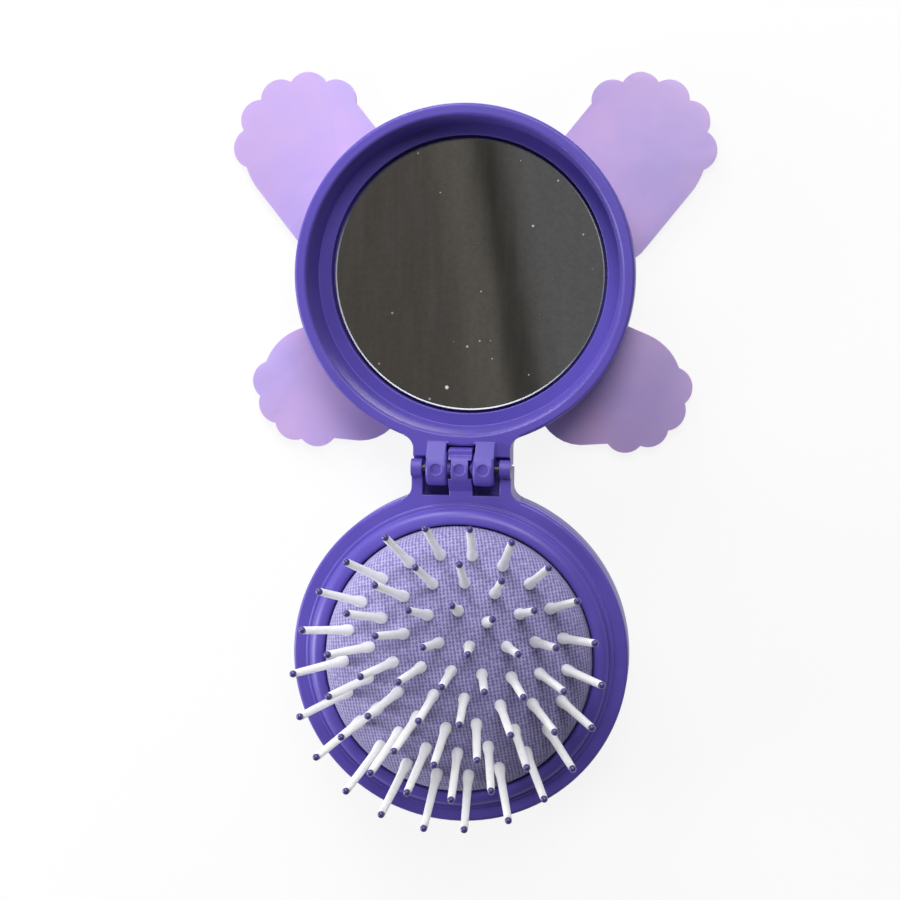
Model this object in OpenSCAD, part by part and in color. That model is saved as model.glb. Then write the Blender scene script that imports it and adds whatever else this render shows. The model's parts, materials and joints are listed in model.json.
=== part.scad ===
// Folding pocket hairbrush with mirror: a pop-up cushion brush hinged to a mirror lid.
// Everything is drawn about the hinge axis, which lies along X, with the closed seam at z = 0,
// the brush half towards -Y and the mirror half towards +Y. on_table() then stands it on its back.

/* [Case] */
// Outer radius of the front frame and of the lid
disc_r = 34; // [32:0.5:36]
// Distance from the hinge axis to the edge of each disc
hinge_offset = 4.35; // [4.2:0.05:6]
// Gap between the two rims when the brush is closed
seam_gap = 0.3; // [0.2:0.1:0.8]
// Depth of the brush half, from the seam to its back
case_depth = 17.5; // [17.5:0.5:24]
// Radius of the edge rounding on the rims
rim_round = 0.6; // [0.3:0.1:0.8]

/* [Front frame] */
// Thickness of the flange around the collar
flange_t = 2.3; // [1.8:0.1:3]
// Width of the step around the collar's foot
step_w = 0.85; // [0.4:0.05:0.9]
// Height of the step above the flange
step_h = 0.6; // [0.3:0.1:0.9]
// Height of the collar above the seam
collar_h = 2.6; // [2.4:0.1:3.6]
// Width of the collar, from its foot to its lip
collar_w = 3.25; // [3:0.05:3.6]
// Radius of the collar's rounded outer edge
collar_round = 2.1; // [1.2:0.1:2.3]
// Radius of the lip's rounded inner edge
lip_round = 0.8; // [0.3:0.1:0.9]
// Thickness of the collar's wall
collar_wall = 1.6; // [1.4:0.1:1.7]
// Thickness of the lip that holds the cushion
lip_t = 1.4; // [1:0.1:1.6]
// Depth of the skirt that plugs into the back cover
skirt_h = 4; // [3:0.5:6]

/* [Back cover] */
// How far the back cover lies inside the edge of the flange
cover_inset = 0; // [0:0.1:1]
// Wall thickness of the back cover
cover_wall = 1.6; // [1.3:0.1:2]
// Radius of the rounded edge at the back
cover_round = 10.5; // [7:0.5:11]
// Radius of the thumb opening
thumb_r = 18; // [15:0.5:20]

/* [Cushion] */
// Height of the dome's crown above the seam
dome_top = 13.1; // [12.5:0.1:15]
// Spherical radius of the dome
dome_r = 47; // [44:1:56]
// Radius of the dome's rolled shoulder
shoulder_r = 5; // [4:0.5:6]
// Rubber thickness
cushion_t = 1.2; // [1:0.1:1.4]
// Width of the clamped bead around the cushion's foot
bead_w = 1.9; // [1.6:0.1:2.1]
// Height of the clamped bead
bead_h = 1.4; // [1.2:0.1:1.8]
// Height of the ring that clamps the bead
retainer_h = 1.8; // [1.4:0.1:2.4]

/* [Bristles] */
// Distance from the case's edge to the outer ring of pins
ring_inset = 12.05; // [11.8:0.05:14]
// Pin length, from the cushion to the centre of the ball tip
pin_l = 16.4; // [15:0.1:17]
// Radius of the pin's sleeve at the foot
sleeve_r = 1.1; // [1:0.05:1.4]
// Length of the sleeve
sleeve_l = 2.8; // [2.5:0.1:4]
// Radius of the shaft where it leaves the sleeve
shaft_r = 0.8; // [0.7:0.05:0.95]
// Radius of the shaft at its tip
shaft_tip_r = 0.68; // [0.5:0.02:0.7]
// Radius of the ball tip
ball_r = 0.74; // [0.72:0.02:0.9]
// Radius of the stem that passes through the cushion
stem_r = 0.8; // [0.6:0.05:1]
// Radius of the anchor head under the cushion
anchor_r = 1.6; // [1.3:0.05:1.7]
// Thickness of the anchor head
anchor_h = 0.6; // [0.4:0.1:0.7]

/* [Thumb button] */
// Radius of the button
button_r = 8.5; // [6:0.5:9]
// Height of the button
button_h = 5; // [4:0.5:8]
// Wall thickness of the button
button_wall = 1.3; // [1:0.1:1.6]
// Radius of the hub that carries the button
hub_r = 2; // [1.6:0.1:2.4]

/* [Hinge] */
// Width of the neck
neck_w = 20; // [19:0.2:22]
// Depth of the neck, from the seam
neck_depth = 8.2; // [7:0.2:9]
// Radius of the fillets between neck and disc
neck_fillet = 2.8; // [2:0.1:3.2]
// Radius of the lid's knuckles
knuckle_r = 3.5; // [3.2:0.1:3.7]
// Width of each of the lid's knuckles
knuckle_w = 4.2; // [4:0.05:4.3]
// Radius of the knuckles' rounded ends
knuckle_round = 0.6; // [0.3:0.1:0.9]
// Distance from the hinge axis to the end of the lid's arms
arm_reach = 5.3; // [5:0.1:5.4]
// Width of the fixed middle knuckle
middle_w = 3.4; // [3.2:0.1:4]
// Radius of the fixed middle knuckle
middle_r = 3.3; // [3:0.1:3.4]
// Width of the head and foot of the middle knuckle
stop_w = 4.7; // [4.3:0.1:4.8]
// Gap between the head of the middle knuckle and the lid's edge
stop_gap = 0.2; // [0.15:0.05:0.5]
// Width of each ear
ear_w = 2.2; // [1.8:0.1:2.3]
// Radius of each ear
ear_r = 1.8; // [1.7:0.1:2.3]
// Gap between each ear and the lid's neck
ear_gap = 0.6; // [0.3:0.1:0.8]
// Radius of the hinge pin
pin_r = 0.8; // [0.7:0.05:1]
// Radius of the moulding dimples on the knuckles
dimple_r = 1.15; // [0.6:0.05:1.2]
// Depth of the moulding dimples
dimple_d = 0.35; // [0.2:0.05:0.5]

/* [Mirror lid] */
// Width of the lid's rim
rim_w = 2.4; // [2.1:0.1:2.6]
// Depth of the mirror's face below the seam
mirror_depth = 11.35; // [11.2:0.05:12]
// Distance from the lid's edge to the mirror
mirror_inset = 6.4; // [6.2:0.1:7.5]
// Thickness of the mirror glass
mirror_t = 1.5; // [1.2:0.1:2]
// Height of the mirror well's edge above the glass
well_edge = 1.4; // [0.8:0.1:1.5]
// Width of the ledge around the mirror well
ledge_w = 2.6; // [2.4:0.1:2.8]
// Gap around the mirror
mirror_gap = 0.6; // [0.2:0.1:0.7]
// Thickness of the lid behind the mirror
lid_floor = 1.4; // [1.2:0.1:2]
// Radius of the rounded edge at the lid's back
lid_round = 7.5; // [5:0.5:8]

/* [Butterfly charm] */
// Thickness of the charm's backing
charm_t = 1.3; // [1:0.1:1.6]
// Thickness of the double-sided tapes
tape_t = 0.4; // [0.2:0.1:0.6]
// Distance of the upper wing tip's centre from the middle
wing_x = 34; // [32:0.5:37]
// Height of the upper wing tip's centre over the lid's centre
wing_y = 25.5; // [24:0.5:28]
// Radius of the upper wing tip
wing_r = 13.5; // [12:0.5:15]
// Radius of the scallops along the wings
scallop_r = 4.2; // [3.5:0.1:5]
// Distance of the lower wing tip's centre from the middle
low_wing_x = 32; // [30:0.5:34]
// Depth of the lower wing tip's centre under the lid's centre
low_wing_y = 22.5; // [21:0.5:24]
// Radius of the lower wing tip
low_wing_r = 11.5; // [10:0.5:12.5]
// Width of the groove between the coloured fields
groove_w = 1.1; // [0.8:0.1:1.6]
// Radius of the butterfly's body
body_r = 3.6; // [3:0.1:4.2]

/* [Fits] */
// Radial clearance of a turning fit
run_fit = 0.05; // [0.03:0.01:0.09]
// Radial clearance of a fixed fit
fixed_fit = 0.02; // [0.01:0.01:0.05]
// Clearance beside and around the hinge's moving parts
swing_gap = 0.25; // [0.2:0.01:0.3]
// Clearance around the rubber cushion and through its holes
rubber_gap = 0.1; // [0.08:0.01:0.15]
// Gap between the collar's foot and the lid's rim when the brush is closed
nest_gap = 0.3; // [0.2:0.1:0.7]
// Gap between the cushion and the collar's lip
lip_gap = 0.3; // [0.15:0.05:0.6]
// Lap joint clearance between front frame and back cover
lap_gap = 0.1; // [0.05:0.01:0.15]

/* [Hidden] */
$fn = 96;
small_fn = 32;
pin_fn = 24;
over = 1;  // how far a cutter passes the face that it cuts

reach = disc_r + hinge_offset;  // hinge axis to each disc's centre
face_z = -seam_gap / 2;         // both rims lie half the gap under the hinge axis

// Bristle rings, from the centre out: pins in a ring, first pin's angle, and radius of the ring
ring_counts = [1, 6, 12, 17, 22];
ring_starts = [0, 55, 84.6, 82.9, 97.8];
ring_shares = [0, 0.2706, 0.5285, 0.7686, 1];
ring_radii = ring_shares * (disc_r - ring_inset);

// Front frame and back cover
open_r = disc_r - rim_w;        // the lid's opening, in which the collar nests
step_r = open_r - nest_gap;
collar_r = step_r - step_w;
bore_r = collar_r - collar_wall;
lip_r = collar_r - collar_w;
flange_bottom = face_z - flange_t;
cover_r = disc_r - cover_inset;
cover_in_r = cover_r - cover_wall;
skirt_r = cover_in_r - lap_gap;
skirt_wall = 1.4;
cover_top = flange_bottom - lap_gap;
back_z = -case_depth;

// Cushion: a dome of dome_r that rolls over shoulder_r into an upright wall
wall_r = lip_r - lip_gap;
dome_z = dome_top - dome_r;
shoulder_x = wall_r - shoulder_r;
shoulder_z = dome_z + sqrt(pow(dome_r - shoulder_r, 2) - pow(shoulder_x, 2));
shoulder_angle = asin(shoulder_x / (dome_r - shoulder_r));
bead_top = collar_h - lip_t - rubber_gap;
bead_bottom = bead_top - bead_h;
bead_r = min(wall_r + bead_w, bore_r - rubber_gap);
retainer_top = bead_bottom - rubber_gap;

// Pins: places along the pin's own axis, from the cushion's outer face
taper_l = 2;
anchor_z = -cushion_t - rubber_gap;
ball_cut = sqrt(pow(ball_r, 2) - pow(shaft_tip_r, 2));
button_hub_h = 1;
button_top = dome_top + anchor_z - anchor_h - button_hub_h;
dish_r = 24;
dish_d = 1;

// Hinge
neck_end = swing_gap;               // the two necks stop each other just short of the axis
neck_root = 5;                      // how far a neck reaches into its disc
notch_play = 0.7;
neck_slot = 2 * (neck_foot(disc_r, neck_w, neck_fillet) + lap_gap);
arm_angle = acos(knuckle_r / arm_reach);
slot_reach = arm_reach + swing_gap;
slot_floor = -(knuckle_r + 2 * swing_gap);
knuckle_in = stop_w / 2 + swing_gap;
stop_reach = hinge_offset - stop_gap;
stop_drop = 2.3;                    // how far the middle knuckle's head reaches under the axis
stop_rise = 1.7;                    // and over it
notch_w = stop_w + 2 * swing_gap + notch_play;
notch_r = norm([stop_reach, stop_drop]) + swing_gap;
ear_in = neck_w / 2 - ear_w;
waist = 1.9;                        // distance from the axis at which the middle knuckle widens
boss_r = waist - swing_gap;
foot_reach = 4.6;

// Lid
mirror_r = disc_r - mirror_inset;
well_r = mirror_r + mirror_gap;
ledge_r = well_r + ledge_w;
tape_inset = 2;
mirror_bevel = 0.3;
mirror_z = -mirror_depth;
well_z = mirror_z - mirror_t - tape_t;
lid_back = well_z - lid_floor;
mirror_tape_r = mirror_r - tape_inset;

// Charm: its lowest faces are level with the back of the brush half
charm_top_z = lid_back - tape_t;
relief_top = charm_top_z - charm_t;
relief_h = relief_top - back_z;
charm_disc_r = 25;
charm_tape_r = 20;
head_y = 20;
head_r = 4.4;
head_field_r = 14.3;
head_field_y = 19;
thorax_y = 13;
tail_y = 16;
tail_r = 2.6;
body_room = 1.5;  // how far the space around the body passes the head and the tail
antenna_x = 7.5;
antenna_y = 28.5;
antenna_w = 1;
knob_r = 1.6;
scallop_step = 30;
charm_half_w = wing_x + wing_r + scallop_r / 2;
charm_top_y = wing_y + wing_r + scallop_r / 2;
panel_inset = 2.2;
spot_gap = 0.15;
wing_root_x = 8;
wing_root_y = 6;
wing_root_r = 5.5;
fold_x = 5;       // the upper wing's lower lobe, from its tip's centre
fold_y = 15;
fold_r = 8.1;
low_fold_x = 9;   // the lower wing's inner lobe, from its tip's centre
low_fold_y = 3;
low_fold_r = 9.2;
wing_fan = [0, 120];      // angles of the first and the last scallop
low_wing_fan = [-90, 0];
wing_spots = [[2, 3, 4.8], [-8, -3, 3.6], [0, -12, 2.8]];  // from the tip's centre: x, y and radius
low_wing_spots = [[1, 0, 4], [-10, 1, 2.8]];

// Middle of the whole outline, front to back
mid_y = (charm_top_y - disc_r) / 2;

module on_table() translate([0, -mid_y, case_depth]) children();
module at_brush() on_table() translate([0, -reach, 0]) children();
module at_lid() on_table() translate([0, reach, 0]) children();

// ---- flat helpers, drawn as (radius, height) ----

// Solid half-section of a bowl whose mouth is at z = top and whose back edge is rounded
module bowl_section(r, top, bottom, corner) {
    translate([0, bottom + corner]) square([r, top - bottom - corner]);
    translate([0, bottom]) square([r - corner, top - bottom]);
    intersection() {
        translate([r - corner, bottom + corner]) circle(corner);
        translate([0, bottom]) square([r, corner]);
    }
}

// Cutter that rounds an outside corner at (x, z); dx and dz point into the material
module corner_cut(x, z, r, dx, dz) {
    difference() {
        translate([x - (dx > 0 ? over : r), z - (dz > 0 ? over : r)]) square(r + over);
        translate([x + dx * r, z + dz * r]) circle(r, $fn = small_fn);
        translate([min(x + dx * r, x + dx * (r + over)), z - r - over]) square([over, 2 * (r + over)]);
        translate([x - r - over, min(z + dz * r, z + dz * (r + over))]) square([2 * (r + over), over]);
    }
}

// Half the width of a neck of width w where its fillets meet a disc of radius r
function neck_foot(r, w, fillet) = (w / 2 + fillet) * r / (r + fillet);

// Outline of a neck that leaves a disc of radius r, drawn towards +Y from the disc's centre
module neck_outline(r, w, fillet, end) {
    fillet_x = w / 2 + fillet;
    fillet_y = sqrt(pow(r + fillet, 2) - pow(fillet_x, 2));
    foot = neck_foot(r, w, fillet);
    root = r - neck_root;
    translate([-w / 2, root]) square([w, end - root]);
    difference() {
        translate([-foot, root]) square([2 * foot, fillet_y - root]);
        for (side = [-1, 1]) translate([side * fillet_x, fillet_y]) circle(fillet, $fn = small_fn);
    }
}

// Extrudes a drawing of (y, z) along X, between x1 and x2
module along_x(x1, x2) {
    translate([x1, 0, 0]) rotate([90, 0, 90]) linear_extrude(x2 - x1) children();
}

// Children and their mirror image across the middle plane
module both_sides() {
    children();
    mirror([1, 0, 0]) children();
}

// ---- brush half ----

module frame_ring() {
    rotate_extrude() difference() {
        union() {
            translate([0, flange_bottom]) square([disc_r, flange_t]);
            translate([0, flange_bottom]) square([step_r, flange_t + step_h]);
            translate([0, flange_bottom]) square([collar_r, collar_h - collar_round - flange_bottom]);
            translate([0, flange_bottom]) square([collar_r - collar_round, collar_h - flange_bottom]);
            translate([collar_r - collar_round, collar_h - collar_round])
                circle(collar_round, $fn = small_fn);
            translate([skirt_r - skirt_wall, flange_bottom - skirt_h])
                square([skirt_wall, skirt_h + flange_t / 2]);
        }
        translate([0, flange_bottom - skirt_h - over])
            square([lip_r, collar_h + case_depth]);
        translate([0, flange_bottom - over]) square([bore_r, collar_h - lip_t - flange_bottom + over]);
        corner_cut(disc_r, face_z, rim_round, -1, -1);
        corner_cut(step_r, face_z + step_h, rim_round / 2, -1, -1);
        corner_cut(lip_r, collar_h, lip_round, 1, -1);
    }
}

// The fixed middle knuckle, waisted between its head and its foot
module middle_knuckle() {
    lean = acos(middle_r / foot_reach);
    along_x(-middle_w / 2, middle_w / 2) circle(middle_r);
    along_x(-stop_w / 2, stop_w / 2) difference() {
        union() {
            circle(middle_r);
            polygon([[-middle_r * cos(lean), middle_r * sin(lean)], [-foot_reach, 0],
                [-slot_reach, face_z], [-slot_reach, slot_floor], [0, slot_floor], [0, 0]]);
            translate([0, -stop_drop]) square([stop_reach, stop_drop]);
            // the head's front is round over the axis, so that the lid's edge swings past it
            intersection() {
                square([stop_reach, stop_rise]);
                circle(stop_reach);
            }
        }
        translate([-waist, slot_floor - over]) square([2 * waist, middle_r - slot_floor + 2 * over]);
        translate([stop_reach, -middle_r]) square(2 * middle_r);
    }
}

module brush_neck() {
    translate([0, -reach, -neck_depth]) linear_extrude(neck_depth + face_z)
        neck_outline(disc_r, neck_w, neck_fillet, reach - neck_end);
    both_sides() along_x(ear_in, neck_w / 2) circle(ear_r);
}

// Room for the lid's knuckles and arms between the ears
module knuckle_room() {
    along_x(-ear_in, ear_in)
        translate([-slot_reach, slot_floor]) square([slot_reach + over, over - slot_floor]);
}

module pin_bore(r) {
    along_x(-neck_w / 2 - over, neck_w / 2 + over) circle(r, $fn = small_fn);
}

module dimple(x, r) {
    translate([x, 0, r - dimple_d]) cylinder(h = dimple_d + over, r = dimple_r, $fn = small_fn);
}

module brush_frame() {
    color("slateblue") difference() {
        union() {
            difference() {
                union() {
                    at_brush() frame_ring();
                    on_table() brush_neck();
                }
                on_table() knuckle_room();
            }
            on_table() middle_knuckle();
        }
        // the cushion's chamber stays clear of the neck
        at_brush() translate([0, 0, -case_depth]) cylinder(h = case_depth, r = bore_r);
        on_table() pin_bore(pin_r + fixed_fit);
        on_table() dimple(0, middle_r);
    }
}

module back_cover() {
    color("slateblue") at_brush() difference() {
        rotate_extrude() difference() {
            bowl_section(cover_r, cover_top, back_z, cover_round);
            bowl_section(cover_in_r, cover_top + over, back_z + cover_wall, cover_round - cover_wall);
            translate([-over, back_z - over]) square([thumb_r + over, cover_wall + 2 * over]);
            corner_cut(cover_r, cover_top, rim_round, -1, -1);
            corner_cut(thumb_r, back_z, rim_round, 1, 1);
        }
        // room for the neck, whose fillets spread to neck_foot() at the disc
        translate([-neck_slot / 2, 0, -neck_depth - lap_gap]) cube([neck_slot, reach, neck_depth]);
    }
}

module cushion_retainer() {
    color("slateblue") at_brush() rotate_extrude()
        translate([wall_r - cushion_t / 2, retainer_top - retainer_h])
            square([bore_r - fixed_fit - wall_r + cushion_t / 2, retainer_h]);
}

// Solid half-section under the dome, shrunk by inset, down to z = low
module dome_section(inset, low) {
    r = dome_r - inset;
    edge = [r * sin(shoulder_angle), dome_z + r * cos(shoulder_angle)];
    intersection() {
        union() {
            intersection() {
                translate([0, dome_z]) circle(r, $fn = 2 * $fn);
                polygon([[0, dome_z], edge * 2 - [0, dome_z], [0, dome_top * 4]]);
            }
            polygon([[0, dome_z], edge, [shoulder_x, shoulder_z], [shoulder_x, low], [0, low]]);
            translate([shoulder_x, shoulder_z]) circle(shoulder_r - inset, $fn = small_fn * 2);
            translate([0, low]) square([wall_r - inset, shoulder_z - low]);
        }
        translate([0, low]) square(dome_r);
    }
}

module rubber_cushion() {
    color("mediumpurple") at_brush() difference() {
        rotate_extrude() difference() {
            union() {
                dome_section(0, bead_bottom);
                translate([0, bead_bottom]) square([bead_r, bead_h]);
            }
            dome_section(cushion_t, bead_bottom - over);
        }
        for (ring = [0 : len(ring_counts) - 1]) on_ring(ring)
            translate([0, 0, -2 * cushion_t]) cylinder(h = 3 * cushion_t, r = stem_r + rubber_gap,
                $fn = pin_fn);
    }
}

// ---- bristles ----

// Puts children on the dome at every pin of a ring, along the dome's normal
module on_ring(ring) {
    lean = asin(ring_radii[ring] / dome_r);
    for (i = [0 : ring_counts[ring] - 1])
        translate([0, 0, dome_z]) rotate([0, 0, ring_starts[ring] - i * 360 / ring_counts[ring]])
            rotate([0, lean, 0]) translate([0, 0, dome_r]) children();
}

module bristle() {
    rotate_extrude($fn = pin_fn) polygon([
        [0, anchor_z - anchor_h], [anchor_r, anchor_z - anchor_h], [anchor_r, anchor_z],
        [stem_r, anchor_z], [stem_r, rubber_gap], [sleeve_r, rubber_gap],
        [sleeve_r, sleeve_l], [shaft_r, sleeve_l + taper_l],
        [shaft_tip_r, pin_l - ball_cut], [0, pin_l - ball_cut]]);
}

module ball_tip() {
    rotate_extrude($fn = pin_fn) intersection() {
        translate([0, pin_l]) circle(ball_r, $fn = pin_fn);
        translate([0, pin_l - ball_cut]) square([2 * ball_r, 2 * ball_r]);
    }
}

module bristle_ring(ring) color("ivory") at_brush() on_ring(ring) bristle();
module ball_tip_ring(ring) color("indigo") at_brush() on_ring(ring) ball_tip();

module thumb_button() {
    color("slateblue") at_brush() translate([0, 0, button_top]) difference() {
        union() {
            cylinder(h = button_hub_h, r = hub_r, $fn = small_fn);
            rotate_extrude() difference() {
                translate([0, -button_h]) square([button_r, button_h]);
                corner_cut(button_r, -button_h, rim_round * 2, -1, 1);
                corner_cut(button_r, 0, rim_round, -1, -1);
            }
        }
        // the thumb's dish, and the hollow above it around the hub
        translate([0, 0, -button_h - dish_r + dish_d]) sphere(dish_r);
        rotate_extrude() translate([hub_r + button_wall, -button_h + dish_d + button_wall])
            square([button_r - hub_r - 2 * button_wall, button_h]);
    }
}

module hinge_pin() {
    color("silver") on_table() along_x(-neck_w / 2 + fixed_fit, neck_w / 2 - fixed_fit)
        circle(pin_r, $fn = small_fn);
}

// ---- mirror half ----

// The lid's outside, still solid
module lid_bowl() {
    rotate_extrude() difference() {
        bowl_section(disc_r, face_z, lid_back, lid_round);
        corner_cut(disc_r, face_z, rim_round, -1, -1);
    }
}

// The space inside the lid: its wall draws in from the rim to the ledge, with the mirror's well below
module lid_recess() {
    rotate_extrude() {
        polygon([[0, face_z + over], [open_r, face_z + over], [open_r, face_z],
            [ledge_r, mirror_z + well_edge], [0, mirror_z + well_edge]]);
        translate([0, well_z]) square([well_r, mirror_depth]);
        corner_cut(open_r, face_z, rim_round, 1, -1);
    }
}

// The arms that carry the lid's knuckles, flush with their tops
module lid_arms() {
    both_sides() along_x(knuckle_in, knuckle_in + knuckle_w)
        polygon([[0, 0], [knuckle_r * cos(arm_angle), knuckle_r * sin(arm_angle)], [arm_reach, 0],
            [arm_reach, -knuckle_r], [0, -knuckle_r]]);
}

module lid_neck() {
    difference() {
        union() {
            translate([0, reach, -neck_depth]) mirror([0, 1, 0]) linear_extrude(neck_depth + face_z)
                neck_outline(disc_r, neck_w - 2 * swing_gap, neck_fillet, reach - neck_end);
            lid_arms();
        }
        along_x(-notch_w / 2, notch_w / 2) {
            intersection() {
                circle(notch_r);
                translate([waist, -2 * notch_r]) square(4 * notch_r);
            }
            translate([-over, -notch_r]) square([waist + 2 * over, 2 * notch_r]);
        }
        both_sides() along_x(knuckle_in + knuckle_w, neck_w) circle(ear_r + ear_gap);
    }
}

module lid_shell() {
    color("slateblue") difference() {
        union() {
            difference() {
                union() {
                    at_lid() lid_bowl();
                    on_table() lid_neck();
                }
                at_lid() lid_recess();
            }
            on_table() lid_rollers();
        }
        on_table() pin_bore(pin_r + run_fit);
        for (side = [-1, 1]) on_table() dimple(side * (knuckle_in + knuckle_w / 2), knuckle_r);
    }
}

// The knuckles proper, with rounded ends and a boss that fills the middle knuckle's waist
module lid_rollers() {
    both_sides() rotate([0, 90, 0]) rotate_extrude() difference() {
        union() {
            translate([0, knuckle_in]) square([knuckle_r, knuckle_w]);
            translate([0, middle_w / 2 + swing_gap]) square([boss_r, knuckle_w]);
        }
        corner_cut(knuckle_r, knuckle_in, knuckle_round, -1, 1);
        corner_cut(knuckle_r, knuckle_in + knuckle_w, knuckle_round, -1, -1);
    }
}

module mirror_tape() {
    color("white") at_lid() translate([0, 0, well_z]) cylinder(h = tape_t, r = mirror_tape_r);
}

module mirror_glass() {
    color("dimgray") at_lid() translate([0, 0, well_z + tape_t]) rotate_extrude()
        polygon([[0, 0], [mirror_r, 0], [mirror_r, mirror_t - mirror_bevel],
            [mirror_r - mirror_bevel, mirror_t], [0, mirror_t]]);
}

// ---- butterfly charm, drawn about the lid's centre ----

module upper_wing(grow) {
    hull() {
        translate([wing_x, wing_y]) circle(wing_r + grow, $fn = 2 * small_fn);
        translate([wing_x - fold_x, wing_y - fold_y]) circle(fold_r + grow, $fn = small_fn);
        translate([wing_root_x, wing_root_y]) circle(wing_root_r + grow, $fn = small_fn);
    }
}

module lower_wing(grow) {
    hull() {
        translate([low_wing_x, -low_wing_y]) circle(low_wing_r + grow, $fn = 2 * small_fn);
        translate([low_wing_x - low_fold_x, -low_wing_y - low_fold_y])
            circle(low_fold_r + grow, $fn = small_fn);
        translate([wing_root_x, -wing_root_y]) circle(wing_root_r + grow, $fn = small_fn);
    }
}

// Round scallops along a wing's outer edge
module scallops(x, y, r, fan) {
    for (a = [fan[0] : scallop_step : fan[1]])
        translate([x + (r - scallop_r / 2) * cos(a), y + (r - scallop_r / 2) * sin(a)])
            circle(scallop_r, $fn = small_fn);
}

module charm_outline() {
    circle(charm_disc_r);
    translate([0, head_field_y]) circle(head_field_r);
    both_sides() {
        upper_wing(0);
        lower_wing(0);
        scallops(wing_x, wing_y, wing_r, wing_fan);
        scallops(low_wing_x, -low_wing_y, low_wing_r, low_wing_fan);
    }
}

module charm_layer(top, h) at_lid() translate([0, 0, top - h]) linear_extrude(h) children();

module charm_tape() color("white") charm_layer(lid_back, tape_t) circle(charm_tape_r);
module charm_backing() color("plum") charm_layer(charm_top_z, charm_t) charm_outline();

// Round fields on the wings, big to small
module spots(grow) {
    both_sides() {
        for (spot = wing_spots) translate([wing_x + spot[0], wing_y + spot[1]])
            circle(spot[2] + grow, $fn = small_fn);
        for (spot = low_wing_spots) translate([low_wing_x + spot[0], -low_wing_y + spot[1]])
            circle(spot[2] + grow, $fn = small_fn);
    }
}

module body_outline() {
    hull() {
        translate([0, thorax_y]) circle(body_r, $fn = small_fn);
        translate([0, -tail_y]) circle(tail_r, $fn = small_fn);
    }
    translate([0, head_y]) circle(head_r, $fn = small_fn);
}

module body_clearance() {
    hull() {
        translate([0, head_y + body_room]) circle(head_r + groove_w, $fn = small_fn);
        translate([0, -tail_y - body_room]) circle(tail_r + groove_w, $fn = small_fn);
    }
}

module charm_upper_wings() {
    color("mediumpurple") charm_layer(relief_top, relief_h) difference() {
        both_sides() upper_wing(-panel_inset);
        both_sides() lower_wing(groove_w - panel_inset);
        body_clearance();
        spots(spot_gap);
    }
}

module charm_lower_wings() {
    color("orchid") charm_layer(relief_top, relief_h) difference() {
        both_sides() lower_wing(-panel_inset);
        both_sides() upper_wing(groove_w - panel_inset);
        body_clearance();
        spots(spot_gap);
    }
}

module charm_spots() color("lightpink") charm_layer(relief_top, relief_h) spots(0);
module charm_body() color("midnightblue") charm_layer(relief_top, relief_h) body_outline();

// Each antenna is a quarter ring that ends in a knob, cut clear of the head
module charm_antennae() {
    ring_r = antenna_x - antenna_w;
    color("midnightblue") charm_layer(relief_top, relief_h) both_sides() {
        difference() {
            translate([antenna_x, antenna_y - ring_r]) circle(ring_r + antenna_w / 2, $fn = 2 * small_fn);
            translate([antenna_x, antenna_y - ring_r]) circle(ring_r - antenna_w / 2, $fn = 2 * small_fn);
            translate([antenna_x, 0]) square(2 * antenna_y);
            translate([-over, -over]) square([2 * antenna_x, head_y + over]);
            translate([0, head_y]) circle(head_r + spot_gap, $fn = small_fn);
        }
        translate([antenna_x, antenna_y]) circle(knob_r, $fn = small_fn);
    }
}

brush_frame();
back_cover();
cushion_retainer();
rubber_cushion();
hinge_pin();
bristle_ring(0);  // bristle_centre
bristle_ring(1);  // bristle_ring_1
bristle_ring(2);  // bristle_ring_2
bristle_ring(3);  // bristle_ring_3
bristle_ring(4);  // bristle_ring_4
ball_tip_ring(0);  // ball_tip_centre
ball_tip_ring(1);  // ball_tips_ring_1
ball_tip_ring(2);  // ball_tips_ring_2
ball_tip_ring(3);  // ball_tips_ring_3
ball_tip_ring(4);  // ball_tips_ring_4
thumb_button();
lid_shell();
mirror_tape();
mirror_glass();
charm_tape();
charm_backing();
charm_upper_wings();
charm_lower_wings();
charm_spots();
charm_body();
charm_antennae();
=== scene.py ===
# %% [markdown]
# # A folding hairbrush with a mirror
#
# A pocket brush that folds like a powder compact. One half holds a domed rubber cushion full of
# nylon pins, the other half is a deep round lid with a mirror at its bottom, and a flat soft-vinyl
# butterfly is glued to the lid's back. The rigid parts come ready from the CAD model as the frame.
# This script gives them their finish and makes what CAD draws too plainly: the pins, the rubber
# with its woven relief, the ground edge of the mirror and the soft edges of the vinyl.

# %% Load the frame
import json
import math

import bmesh
import bpy
from mathutils import Matrix, Vector


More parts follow.
